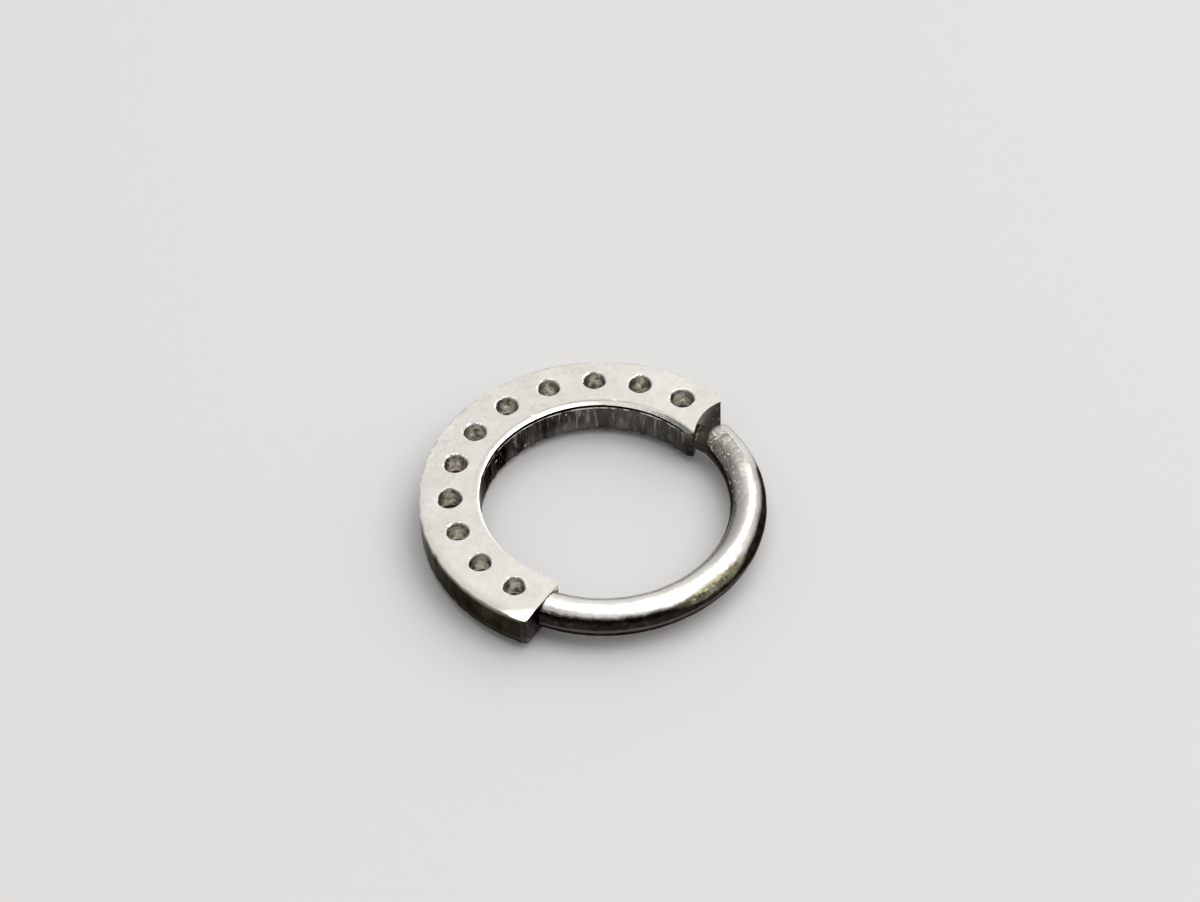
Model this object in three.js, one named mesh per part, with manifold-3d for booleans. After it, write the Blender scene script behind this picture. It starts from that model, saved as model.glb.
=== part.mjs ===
// Hinged daith ring (clicker): a flat stone-set bar that covers a little more
// than half of the circle, closed by a round wire segment on a hinge.
//
// Lengths are in millimetres. Z is the ring's own axis and points up; the ring
// lies on its stone side, so the plane z = 0 passes through the prong tips and
// the bar's smooth back face is uppermost. +Y points at the middle of the bar,
// +X at its hinge end. The origin is the middle of the ring's footprint.

import * as THREE from 'three';
import { mergeVertices } from 'three/addons/utils/BufferGeometryUtils.js';
import { ConvexGeometry } from 'three/addons/geometries/ConvexGeometry.js';
import Module from 'manifold-3d';

// ---------------------------------------------------------------- dimensions
// Bar
const BAR_INNER_R = 4.0;        // the wearable inner diameter is 8 mm
const BAR_OUTER_R = 6.06;
const BAR_BACK_Z = 1.57;        // smooth back face
const BAR_FRONT_Z = 0.32;       // stone-side face; only prongs stand below it
const BAR_CORNERS = [            // rounding of the plan corners; a straight wall runs along Y from the ring axis
  { end: 'hinge', rim: 'outer', radius: 0.40, straight: false },
  { end: 'hinge', rim: 'inner', radius: 0.34, straight: false },
  { end: 'latch', rim: 'inner', radius: 0.10, straight: true },
  { end: 'latch', rim: 'outer', radius: 0.13, straight: false },
];
const HINGE_END_Y = -1.33;      // flat end plane on the hinge side
const LATCH_END_Y = -1.16;      // flat end plane on the latch side

// Concave scoop in the hinge end, parallel to the ring axis
const SCOOP = { x: 4.86, y: -2.83, radius: 1.75 };

// Stones, their seats and the open (azure) holes behind them
const STONE_CIRCLE = { x: 0.10, y: 0.05, radius: 5.02 };
const STONE_PLACES = [          // round the stone circle, from +Y towards +X
  { number: 1, deg: 91.4 },
  { number: 2, deg: 72.9 },
  { number: 3, deg: 54.5 },
  { number: 4, deg: 36.0 },
  { number: 5, deg: 17.1 },
  { number: 6, deg: -1.4 },
  { number: 7, deg: -19.3 },
  { number: 8, deg: -37.4 },
  { number: 9, deg: -54.7 },
  { number: 10, deg: -72.7 },
  { number: 11, deg: -90.5 },
];
const STONE = { radius: 0.64, crown: 0.19, girdle: 0.04, pavilion: 0.55, tableRadius: 0.374, starRadius: 0.512, lowerRadius: 0.155, tableZ: 0.24 };
const SEAT_R = 0.68;
const SEAT_CLEARANCE_Z = 0.03;  // seat shoulder above the girdle
const AZURE_HOLE_R = 0.38;

// Prongs: two inner and two outer ones for each stone, one pair more at each end
const PRONG = { radius: 0.16, tipRadius: 0.11, tipHeight: 0.07, rootZ: 0.60 };
const PRONG_ROWS = [            // distance from the stone circle
  { name: 'inner', offset: -0.835 },
  { name: 'outer', offset: 0.77 },
];
const PRONG_SIDE = 0.34;        // either side of the stone's middle
const END_PRONG_SIDE = 0.74;    // the extra pair, past the first and last stone

// Wire segment
const WIRE_R = 0.625;
const WIRE_Z = 0.92;
const WIRE_ARC = { x: 0.04, y: -0.28, radius: 4.82, fromDeg: -9, toDeg: -173 };
const WIRE_HINGE_FACE_Y = -1.56;
const WIRE_LATCH_FACE_Y = -1.20;
const WIRE_END_CHAMFERS = [
  { end: 'hinge', size: 0.30 },
  { end: 'latch', size: 0.10 },
];

// Hinge: a tongue on the bar inside a fork in the wire, turning on a pin
const HINGE = { x: 4.39, y: -2.36 };
const HINGE_SWEEP_R = 1.15;     // the fork's corners turn inside this radius
const TONGUE = { halfWidth: 0.38, thickness: 0.44, rootY: -0.95, pinHoleR: 0.22 };
const FORK = { slotHeight: 0.54, slotFloor: 0.46, slotInside: 0.43, pinHoleR: 0.21 };
const PIN = { radius: 0.18, zLow: 0.32, zHigh: 1.52 };

// Latch: a short peg on the free end that plugs into a socket in the bar
const PEG = { radius: 0.19, tipRadius: 0.12, tipLength: 0.07, length: 0.30, root: 0.40 };
const SOCKET = { radius: 0.25, depth: 0.36 };

// Fineness of the facets
const SEG = { arc: 64, corner: 4, hole: 18, seat: 20, prong: 8, wireSides: 20, wireSteps: 34, pin: 16, sweep: 40 };

// ------------------------------------------------------------ solid modelling
const wasm = await Module();
wasm.setup();

const EPS = 0.25; // how far a cutting tool runs past the face it opens

function toSolid(geometry, matrix) {
  let g = geometry.index ? geometry.toNonIndexed() : geometry.clone();
  g.deleteAttribute('normal');
  g.deleteAttribute('uv');
  if (matrix) g.applyMatrix4(matrix);
  g = mergeVertices(g, 1e-5);
  const index = Array.from(g.index.array);
  const kept = [];
  for (let i = 0; i < index.length; i += 3) {
    const [a, b, c] = [index[i], index[i + 1], index[i + 2]];
    if (a !== b && b !== c && c !== a) kept.push(a, b, c);
  }
  return new wasm.Manifold(new wasm.Mesh({
    numProp: 3,
    vertProperties: new Float32Array(g.attributes.position.array),
    triVerts: new Uint32Array(kept),
  }));
}

function toGeometry(solid) {
  const m = solid.getMesh();
  const g = new THREE.BufferGeometry();
  g.setAttribute('position', new THREE.BufferAttribute(new Float32Array(m.vertProperties), 3));
  g.setIndex(new THREE.BufferAttribute(new Uint32Array(m.triVerts), 1));
  g.computeVertexNormals();
  return g;
}

function translation(x, y, z) {
  return new THREE.Matrix4().makeTranslation(x, y, z);
}

// A profile of [radius, height] pairs turned about Z, starting and ending on it.
function turned(profile, segments) {
  const g = new THREE.LatheGeometry(profile.map(([r, z]) => new THREE.Vector2(r, z)), segments);
  return g.applyMatrix4(new THREE.Matrix4().makeRotationX(Math.PI / 2));
}

// An upright cylinder between two heights.
function upright(radius, zLow, zHigh, segments) {
  return turned([[0, zLow], [radius, zLow], [radius, zHigh], [0, zHigh]], segments);
}

function extruded(shape, zLow, zHigh, curveSegments) {
  const g = new THREE.ExtrudeGeometry(shape, { depth: zHigh - zLow, bevelEnabled: false, curveSegments });
  return g.applyMatrix4(translation(0, 0, zLow));
}

function block(xLow, xHigh, yLow, yHigh, zLow, zHigh) {
  const g = new THREE.BoxGeometry(xHigh - xLow, yHigh - yLow, zHigh - zLow);
  return g.applyMatrix4(translation((xLow + xHigh) / 2, (yLow + yHigh) / 2, (zLow + zHigh) / 2));
}

// A place round the stone circle: deg from +Y towards +X, out from the circle,
// and aside along it in the same sense as deg.
function onStoneCircle(deg, out = 0, aside = 0) {
  const a = THREE.MathUtils.degToRad(deg);
  const r = STONE_CIRCLE.radius + out;
  return {
    x: STONE_CIRCLE.x + r * Math.sin(a) + aside * Math.cos(a),
    y: STONE_CIRCLE.y + r * Math.cos(a) - aside * Math.sin(a),
  };
}

// ------------------------------------------------------------------- the bar
// Plan outline: outer arc, hinge end, inner arc, latch end, with rounded corners.
function barOutline() {
  const corners = BAR_CORNERS.map(({ end, rim, radius, straight }) => {
    // centre of the small corner circle, which touches the wall and the end plane
    const side = end === 'hinge' ? 1 : -1;
    const centreR = rim === 'outer' ? BAR_OUTER_R - radius : BAR_INNER_R + radius;
    const cy = (end === 'hinge' ? HINGE_END_Y : LATCH_END_Y) + radius;
    const cx = side * (straight ? centreR : Math.sqrt(centreR * centreR - cy * cy));
    return { radius, cx, cy, arcAngle: straight ? Math.atan2(0, side) : Math.atan2(cy, cx) };
  });
  const [outerHinge, innerHinge, innerLatch, outerLatch] = corners;
  const points = [];
  const arc = (cx, cy, r, from, to, n) => {
    for (let i = 0; i <= n; i++) {
      const a = from + (to - from) * i / n;
      points.push(new THREE.Vector2(cx + r * Math.cos(a), cy + r * Math.sin(a)));
    }
  };
  const down = -Math.PI / 2;
  const latchOuter = outerLatch.arcAngle < 0 ? outerLatch.arcAngle + 2 * Math.PI : outerLatch.arcAngle;
  const latchInner = innerLatch.arcAngle < 0 ? innerLatch.arcAngle + 2 * Math.PI : innerLatch.arcAngle;
  arc(0, 0, BAR_OUTER_R, outerHinge.arcAngle, latchOuter, SEG.arc);
  arc(outerLatch.cx, outerLatch.cy, outerLatch.radius, latchOuter, down + 2 * Math.PI, SEG.corner);
  arc(innerLatch.cx, innerLatch.cy, innerLatch.radius, down + 2 * Math.PI, latchInner + Math.PI, SEG.corner);
  arc(0, 0, BAR_INNER_R, latchInner, innerHinge.arcAngle, SEG.arc);
  arc(innerHinge.cx, innerHinge.cy, innerHinge.radius, innerHinge.arcAngle + Math.PI, down + 2 * Math.PI, SEG.corner);
  arc(outerHinge.cx, outerHinge.cy, outerHinge.radius, down, outerHinge.arcAngle, SEG.corner);
  const clean = points.filter((p, i) => p.distanceTo(points[(i + points.length - 1) % points.length]) > 1e-4);
  return new THREE.Shape(clean);
}

function prongPlaces() {
  const first = STONE_PLACES[0].deg;
  const last = STONE_PLACES[STONE_PLACES.length - 1].deg;
  return PRONG_ROWS.flatMap(({ offset }) => [
    onStoneCircle(first, offset, END_PRONG_SIDE),
    ...STONE_PLACES.flatMap(({ deg }) => [onStoneCircle(deg, offset, PRONG_SIDE), onStoneCircle(deg, offset, -PRONG_SIDE)]),
    onStoneCircle(last, offset, -END_PRONG_SIDE),
  ]);
}

// Direction in which the free end leaves the bar when the hinge starts to turn.
function latchLine() {
  const dy = WIRE_LATCH_FACE_Y - WIRE_ARC.y;
  const x = WIRE_ARC.x - Math.sqrt(WIRE_ARC.radius ** 2 - dy ** 2);
  const fromHinge = new THREE.Vector2(x - HINGE.x, WIRE_LATCH_FACE_Y - HINGE.y);
  const inward = new THREE.Vector2(fromHinge.y, -fromHinge.x).normalize();
  return { x, y: WIRE_LATCH_FACE_Y, inward };
}

// Moves a shape turned about Z so that its axis lies along the latch line.
function latchMatrix(along) {
  const { x, y, inward } = latchLine();
  const dir = new THREE.Vector3(inward.x, inward.y, 0);
  const turn = new THREE.Quaternion().setFromUnitVectors(new THREE.Vector3(0, 0, 1), dir);
  return new THREE.Matrix4().compose(
    new THREE.Vector3(x, y, WIRE_Z).addScaledVector(dir, along), turn, new THREE.Vector3(1, 1, 1));
}

function makeStoneBar() {
  let bar = toSolid(extruded(barOutline(), BAR_FRONT_Z, BAR_BACK_Z, SEG.arc));

  // scoop, and the room the fork's corners need as they turn
  bar = bar.subtract(toSolid(upright(SCOOP.radius, -EPS, BAR_BACK_Z + EPS, SEG.sweep), translation(SCOOP.x, SCOOP.y, 0)));
  bar = bar.subtract(toSolid(upright(HINGE_SWEEP_R, -EPS, BAR_BACK_Z + EPS, SEG.sweep), translation(HINGE.x, HINGE.y, 0)));

  for (const p of prongPlaces()) {
    const prong = turned([
      [0, 0], [PRONG.tipRadius, 0], [PRONG.radius, PRONG.tipHeight],
      [PRONG.radius, PRONG.rootZ], [0, PRONG.rootZ]], SEG.prong);
    bar = bar.add(toSolid(prong, translation(p.x, p.y, 0)));
  }

  // seats, each opening into the azure hole behind the stone
  const girdleTop = STONE.tableZ + STONE.crown + STONE.girdle;
  const slope = STONE.pavilion / STONE.radius;
  const shoulder = girdleTop + SEAT_CLEARANCE_Z;
  const coneEnd = shoulder + (SEAT_R - AZURE_HOLE_R) * slope;
  for (const { deg } of STONE_PLACES) {
    const p = onStoneCircle(deg);
    const tool = turned([
      [0, -EPS], [SEAT_R, -EPS], [SEAT_R, shoulder], [AZURE_HOLE_R, coneEnd],
      [AZURE_HOLE_R, BAR_BACK_Z + EPS], [0, BAR_BACK_Z + EPS]], SEG.seat);
    bar = bar.subtract(toSolid(tool, translation(p.x, p.y, 0)));
  }

  // hinge tongue with its rounded end about the pin
  const tongue = new THREE.Shape();
  tongue.moveTo(HINGE.x + TONGUE.halfWidth, TONGUE.rootY);
  tongue.lineTo(HINGE.x - TONGUE.halfWidth, TONGUE.rootY);
  tongue.lineTo(HINGE.x - TONGUE.halfWidth, HINGE.y);
  tongue.absarc(HINGE.x, HINGE.y, TONGUE.halfWidth, Math.PI, 2 * Math.PI, false);
  tongue.lineTo(HINGE.x + TONGUE.halfWidth, TONGUE.rootY);
  bar = bar.add(toSolid(extruded(tongue, WIRE_Z - TONGUE.thickness / 2, WIRE_Z + TONGUE.thickness / 2, SEG.hole)));
  bar = bar.subtract(toSolid(upright(TONGUE.pinHoleR, 0, BAR_BACK_Z, SEG.hole), translation(HINGE.x, HINGE.y, 0)));

  // latch socket
  const gap = LATCH_END_Y - WIRE_LATCH_FACE_Y;
  const socket = upright(SOCKET.radius, -EPS, gap + SOCKET.depth, SEG.hole);
  bar = bar.subtract(toSolid(socket, latchMatrix(0)));
  return bar;
}

// ---------------------------------------------------------------- the stones
// Round brilliant: octagonal table, star and kite facets, sixteen-sided girdle,
// pavilion mains and lower halves down to a point. The table faces down.
function makeStoneGeometry() {
  const s = STONE;
  const crownSlope = s.crown / (s.radius - s.tableRadius);
  const pavilionSlope = s.pavilion / s.radius;
  const half = Math.cos(Math.PI / 8);
  const tableZ = s.tableZ;
  const girdleLow = tableZ + s.crown;
  const girdleHigh = girdleLow + s.girdle;
  const rings = [
    { sides: 8, turnDeg: 0, radius: s.tableRadius, z: tableZ },
    { sides: 8, turnDeg: 22.5, radius: s.starRadius, z: girdleLow - (s.radius - s.starRadius * half) * crownSlope },
    { sides: 16, turnDeg: 0, radius: s.radius, z: girdleLow },
    { sides: 16, turnDeg: 0, radius: s.radius, z: girdleHigh },
    { sides: 8, turnDeg: 22.5, radius: s.lowerRadius, z: girdleHigh + s.pavilion - s.lowerRadius * half * pavilionSlope },
  ];
  const points = [new THREE.Vector3(0, 0, girdleHigh + s.pavilion)];
  for (const ring of rings) {
    for (let i = 0; i < ring.sides; i++) {
      const a = THREE.MathUtils.degToRad(ring.turnDeg + i * 360 / ring.sides);
      points.push(new THREE.Vector3(ring.radius * Math.cos(a), ring.radius * Math.sin(a), ring.z));
    }
  }
  return new ConvexGeometry(points);
}

// --------------------------------------------------------- the wire segment
class ArcPath extends THREE.Curve {
  getPoint(t, target = new THREE.Vector3()) {
    const a = THREE.MathUtils.degToRad(WIRE_ARC.fromDeg + (WIRE_ARC.toDeg - WIRE_ARC.fromDeg) * t);
    return target.set(WIRE_ARC.x + WIRE_ARC.radius * Math.cos(a), WIRE_ARC.y + WIRE_ARC.radius * Math.sin(a), WIRE_Z);
  }
}

function roundSection(radius, sides) {
  const points = Array.from({ length: sides }, (_, i) => {
    const a = 2 * Math.PI * i / sides;
    return new THREE.Vector2(radius * Math.cos(a), radius * Math.sin(a));
  });
  return new THREE.Shape(points);
}

// A collar that trims the rim of a wire end whose face looks along +Y.
function chamferCollar(size) {
  const over = 0.35;
  const profile = [
    [WIRE_R - size, over], [WIRE_R - size, 0], [WIRE_R + over, -(size + over)],
    [WIRE_R + 2 * over, -(size + over)], [WIRE_R + 2 * over, over], [WIRE_R - size, over]];
  const g = turned(profile, SEG.sweep);
  return g.applyMatrix4(new THREE.Matrix4().makeRotationX(-Math.PI / 2));
}

function makeWireSegment() {
  const path = new ArcPath();
  const sweep = new THREE.ExtrudeGeometry(roundSection(WIRE_R, SEG.wireSides), { steps: SEG.wireSteps, extrudePath: path, bevelEnabled: false });
  let wire = toSolid(sweep);
  if (wire.volume() < 0) throw new Error('the wire is inside out');

  const far = BAR_OUTER_R + 1;
  wire = wire.subtract(toSolid(block(0, far, WIRE_HINGE_FACE_Y, far, -EPS, BAR_BACK_Z + 2)));
  wire = wire.subtract(toSolid(block(-far, 0, WIRE_LATCH_FACE_Y, far, -EPS, BAR_BACK_Z + 2)));

  const faces = { hinge: { y: WIRE_HINGE_FACE_Y, side: 1 }, latch: { y: WIRE_LATCH_FACE_Y, side: -1 } };
  for (const { end, size } of WIRE_END_CHAMFERS) {
    const { y, side } = faces[end];
    const x = WIRE_ARC.x + side * Math.sqrt(WIRE_ARC.radius ** 2 - (y - WIRE_ARC.y) ** 2);
    wire = wire.subtract(toSolid(chamferCollar(size), translation(x, y, WIRE_Z)));
  }

  // fork slot, open at the end and at the outer flank; the wire's inner flank closes it
  wire = wire.subtract(toSolid(block(
    HINGE.x - FORK.slotInside, HINGE.x + 3 * WIRE_R, HINGE.y - FORK.slotFloor, WIRE_HINGE_FACE_Y + EPS,
    WIRE_Z - FORK.slotHeight / 2, WIRE_Z + FORK.slotHeight / 2)));
  wire = wire.subtract(toSolid(upright(FORK.pinHoleR, -EPS, BAR_BACK_Z + EPS, SEG.hole), translation(HINGE.x, HINGE.y, 0)));

  // latch peg with a tapered tip
  const peg = turned([
    [0, -PEG.root], [PEG.radius, -PEG.root], [PEG.radius, PEG.length - PEG.tipLength],
    [PEG.tipRadius, PEG.length], [0, PEG.length]], SEG.pin);
  return wire.add(toSolid(peg, latchMatrix(0)));
}

// ------------------------------------------------------------------ assembly
const SILVER = { color: 0xd9d8d2, metalness: 1.0, roughness: 0.32 };
const POLISHED = { color: 0xdedcd6, metalness: 1.0, roughness: 0.12 };
const CRYSTAL = { color: 0xf1f3f5, metalness: 0.0, roughness: 0.03 };

function node(name, geometry, look) {
  const mesh = new THREE.Mesh(geometry, new THREE.MeshStandardMaterial(look));
  mesh.name = name;
  return mesh;
}

const ring = new THREE.Group();
// the ring axis stands a little behind the middle of the footprint
const footprintY = (BAR_OUTER_R + (WIRE_ARC.y - WIRE_ARC.radius - WIRE_R)) / 2;
ring.position.set(0, -footprintY, 0);

ring.add(node('stone_bar', toGeometry(makeStoneBar()), SILVER));
const brilliant = makeStoneGeometry();
for (const { number, deg } of STONE_PLACES) {
  const stone = node(`stone_${String(number).padStart(2, '0')}`, brilliant.clone(), CRYSTAL);
  const p = onStoneCircle(deg);
  stone.position.set(p.x, p.y, 0);
  stone.rotation.z = -THREE.MathUtils.degToRad(deg);
  ring.add(stone);
}
ring.add(node('wire_segment', toGeometry(makeWireSegment()), POLISHED));
const pin = node('hinge_pin', upright(PIN.radius, PIN.zLow, PIN.zHigh, SEG.pin), POLISHED);
pin.position.set(HINGE.x, HINGE.y, 0);
ring.add(pin);

export default ring;
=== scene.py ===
"""Looks of the hinged daith ring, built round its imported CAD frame.

Shapes are worked out in millimetres with Y measured from the ring's own axis,
as signed distances (negative inside the metal). They are meshed by dual
contouring and moved into the frame's metres at the end.
"""

import math

import bpy
import numpy as np
from mathutils import Matrix, Vector


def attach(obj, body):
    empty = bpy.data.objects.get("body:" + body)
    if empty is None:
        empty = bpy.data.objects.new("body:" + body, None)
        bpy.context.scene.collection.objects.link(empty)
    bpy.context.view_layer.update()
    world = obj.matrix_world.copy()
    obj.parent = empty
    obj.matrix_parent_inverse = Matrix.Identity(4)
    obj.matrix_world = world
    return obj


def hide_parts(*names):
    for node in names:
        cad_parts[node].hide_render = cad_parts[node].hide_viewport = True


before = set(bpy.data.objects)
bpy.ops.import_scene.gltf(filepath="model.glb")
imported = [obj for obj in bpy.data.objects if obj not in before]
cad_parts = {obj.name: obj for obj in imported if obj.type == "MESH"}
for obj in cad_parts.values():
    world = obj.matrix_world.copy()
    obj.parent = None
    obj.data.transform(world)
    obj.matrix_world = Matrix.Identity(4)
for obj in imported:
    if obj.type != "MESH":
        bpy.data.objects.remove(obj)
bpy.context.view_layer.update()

AXIS_SHIFT = -0.1675            # frame Y of the ring axis, in mm
MM = 0.001

# ---------------------------------------------------------------- dimensions
BACK_Z, FRONT_Z = 1.57, 0.32
INNER_R, OUTER_R = 4.0, 6.06
HINGE_END_Y, LATCH_END_Y = -1.33, -1.16
SCOOP = (4.86, -2.83, 1.75)
STONE_CX, STONE_CY, STONE_CR = 0.10, 0.05, 5.02
STONE_DEG = [91.4, 72.9, 54.5, 36.0, 17.1, -1.4, -19.3, -37.4, -54.7, -72.7, -90.5]
HOLE_R = [0.405, 0.388, 0.373, 0.368, 0.383, 0.378, 0.392, 0.410, 0.366, 0.360, 0.356]   # hand drilled, so uneven
STONE_R, SEAT_R = 0.64, 0.68
SEAT_Z, CONE_Z = 0.50, 0.75
TABLE_Z = 0.24
PRONG_R, PRONG_OUTER, PRONG_INNER, PRONG_SIDE, END_SIDE, PRONG_ROOT_Z = 0.16, 0.77, -0.835, 0.34, 0.74, 0.60
WIRE_X, WIRE_Y, WIRE_ARC_R, WIRE_R, WIRE_Z = 0.04, -0.28, 4.82, 0.625, 0.92
WIRE_HINGE_Y, WIRE_LATCH_Y = -1.56, -1.20
HINGE_X, HINGE_Y = 4.39, -2.36
PIN_R, PIN_LOW, PIN_HIGH = 0.18, 0.32, 1.52


# ------------------------------------------------------------------ distances
def rint(a, b, r):
    """Intersection of two distances with an edge rounded to radius r."""
    return np.minimum(-r, np.maximum(a, b)) + np.hypot(np.maximum(a + r, 0), np.maximum(b + r, 0))


def runion(a, b, r):
    """Union with a hollow fillet of radius r."""
    return np.maximum(r, np.minimum(a, b)) - np.hypot(np.maximum(r - a, 0), np.maximum(r - b, 0))


def ripple(x, y, z, wave, seed, terms=9):
    """Smooth, repeatable unevenness between about -1 and 1 with the given wavelength."""
    rng = np.random.default_rng(seed)
    total = np.zeros_like(x)
    for _ in range(terms):
        d = rng.normal(size=3)
        d /= np.linalg.norm(d)
        k = 2 * math.pi / (wave * rng.uniform(0.65, 1.6))
        total = total + np.sin(k * (d[0] * x + d[1] * y + d[2] * z) + rng.uniform(0, 2 * math.pi))
    return total / math.sqrt(terms) / 1.6


def latch_line():
    dy = WIRE_LATCH_Y - WIRE_Y
    x = WIRE_X - math.sqrt(WIRE_ARC_R ** 2 - dy ** 2)
    fx, fy = x - HINGE_X, WIRE_LATCH_Y - HINGE_Y
    n = math.hypot(fx, fy)
    return x, WIRE_LATCH_Y, fy / n, -fx / n


LATCH = latch_line()
STONE_RAD = np.radians(np.array(STONE_DEG))


def stone_local(x, y):
    """Index of the nearest stone, and the place relative to it: along the circle, and outwards."""
    px, py = x - STONE_CX, y - STONE_CY
    a = np.arctan2(px, py)
    best = np.zeros(x.shape, int)
    gap = np.full(x.shape, 99.0)
    for i, s in enumerate(STONE_RAD):
        g = np.abs((a - s + math.pi) % (2 * math.pi) - math.pi)
        near = g < gap
        best = np.where(near, i, best)
        gap = np.where(near, g, gap)
    s = STONE_RAD[best]
    u = px * np.cos(s) - py * np.sin(s)
    v = px * np.sin(s) + py * np.cos(s) - STONE_CR
    return best, u, v


HOLE_RNG = np.random.default_rng(41)
HOLE_WOBBLE = HOLE_RNG.uniform(-1, 1, size=(11, 6))
PRONG_DROP = np.random.default_rng(17).uniform(0.0, 0.03, size=(11, 4))


def bevel_width(deg):
    """The burnished bevel of the inner rim is widest towards the hinge."""
    return np.interp(deg, [-105, -40, -15, 0, 30, 60, 90, 110], [0.03, 0.035, 0.055, 0.085, 0.115, 0.14, 0.165, 0.17])


def bar_distance(x, y, z):
    r = np.hypot(x, y)
    deg = np.degrees(np.arctan2(x, y))
    rho_in = np.where((x < 0) & (y < 0), -x, r)
    # cast and hand-polished walls: shallow waves, longer up the wall than round it
    low = np.clip((1.05 - z) / 0.6, 0, 1)
    uneven_out = 0.006 * (1 + ripple(x, y, z * 0.5, 0.55, 3)) + 0.013 * low * np.clip(ripple(x, y, z, 0.34, 4), 0, 1)
    uneven_in = 0.004 * (1 + ripple(x, y, z * 0.12, 0.30, 5)) + 0.005 * (1 + ripple(x, y, z * 0.2, 0.9, 6))
    a_out = r - OUTER_R + uneven_out
    a_in = INNER_R - rho_in + uneven_in * 0.7
    # a small knock in the outer rim
    knock = np.exp(-((deg + 61.1) / 1.1) ** 2) * np.clip((z - 1.2) / 0.3, 0, 1)
    a_out = a_out + 0.035 * knock
    top = z - BACK_Z + 0.004 * (1 + ripple(x, y, 0 * z, 1.6, 7))
    bottom = FRONT_Z - z

    right = x > 0
    end = np.where(right, HINGE_END_Y - y, LATCH_END_Y - y)
    scoop = SCOOP[2] - np.hypot(x - SCOOP[0], y - SCOOP[1]) + 0.008 * ripple(x, y, z * 0.3, 0.7, 8) * np.clip((1.50 - z) / 0.2, 0, 1)
    sweep = 1.15 - np.hypot(x - HINGE_X, y - HINGE_Y)
    notch = np.where(right, np.maximum(scoop, sweep), -9.0)

    outer = rint(a_out, end, np.where(right, 0.40, 0.13))
    inner = rint(a_in, end, np.where(right, 0.34, 0.10))
    # fine burr line under the bevel on the inner wall
    a_in_line = 0.014 * np.exp(-((z - 1.43) / 0.030) ** 2) * (0.6 + 0.4 * ripple(x, y, 0 * z, 0.35, 9))
    inner = inner + a_in_line
    d = np.maximum(np.maximum(np.maximum(outer, inner), notch), top)
    # eased outer rim
    d = np.maximum(d, 0.7071 * (a_out + top + 0.035))
    # polished bevel round the inner rim, dying out towards the latch side
    width = bevel_width(deg)
    bevel = 0.37 * (a_in + width) + 0.929 * top
    d = np.maximum(d, bevel)
    # worn flat at the outer latch corner
    worn = np.clip(-(x + 5.50) * 0.823 - (y + 0.90) * 0.568 + 0.03 * ripple(x, y, 0 * z, 0.45, 14), 0, 2)
    flat = 0.15 * worn * worn / (worn + 0.22) + 0.990 * top
    d = np.where(x < 0, np.maximum(d, flat), d)
    d = rint(d, bottom, 0.06)

    i, u, v = stone_local(x, y)
    # prongs with domed tips, each a little different
    corner = (u > 0).astype(int) + 2 * (v > 0).astype(int)
    drop = PRONG_DROP[i, corner]
    lean = 0.03 * np.clip((0.20 - z) / 0.20, 0, 1)              # tips pressed over towards the stone
    p = np.hypot(np.abs(u) - PRONG_SIDE, v - np.where(v > 0, PRONG_OUTER - lean, PRONG_INNER + lean))
    a_prong = rint(p - PRONG_R, drop - z, 0.09)
    for s, sense in ((STONE_RAD[0], 1), (STONE_RAD[-1], -1)):
        px, py = x - STONE_CX, y - STONE_CY
        uu = px * math.cos(s) - py * math.sin(s) - sense * END_SIDE
        vv = px * math.sin(s) + py * math.cos(s) - STONE_CR
        q = np.hypot(uu, vv - np.where(vv > 0, PRONG_OUTER, PRONG_INNER))
        a_prong = np.minimum(a_prong, rint(q - PRONG_R, 0.01 - z, 0.09))
    a_prong = np.maximum(a_prong, z - PRONG_ROOT_Z)
    d = runion(d, a_prong, 0.05)

    # seats and the open holes behind the stones
    q = np.hypot(u, v)
    t = np.arctan2(v, u)
    w = HOLE_WOBBLE[i]
    wobble = 0.010 * (w[..., 0] * np.sin(2 * t + 3 * w[..., 1]) + w[..., 2] * np.sin(3 * t + 3 * w[..., 3]) + 0.7 * w[..., 4] * np.sin(5 * t + 3 * w[..., 5]))
    wobble = np.where(z > 0.9, wobble, 0)
    drill = np.array(HOLE_R)[i]
    cut = SEAT_R + (drill - SEAT_R) * np.clip((z - SEAT_Z) / (CONE_Z - SEAT_Z), 0, 1)
    hole = cut - q + wobble
    d = np.maximum(d, hole)
    d = np.maximum(d, 0.7071 * (hole + top + 0.042))

    # hinge tongue, with its rounded end about the pin
    tx, ty = x - HINGE_X, y - HINGE_Y
    plan = np.where(ty > 0, np.abs(tx), np.hypot(tx, ty)) - 0.38
    tongue = rint(np.maximum(plan, y + 0.95), np.abs(z - WIRE_Z) - 0.22, 0.04)
    d = runion(d, tongue, 0.06)
    d = rint(d, 0.22 - np.hypot(tx, ty), 0.02)

    # latch socket
    lx, ly, ux, uy = LATCH
    along = (x - lx) * ux + (y - ly) * uy
    off = np.hypot((x - lx) * uy - (y - ly) * ux, z - WIRE_Z)
    d = rint(d, np.minimum(0.25 - off, 0.40 - along), 0.02)
    return d


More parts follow.
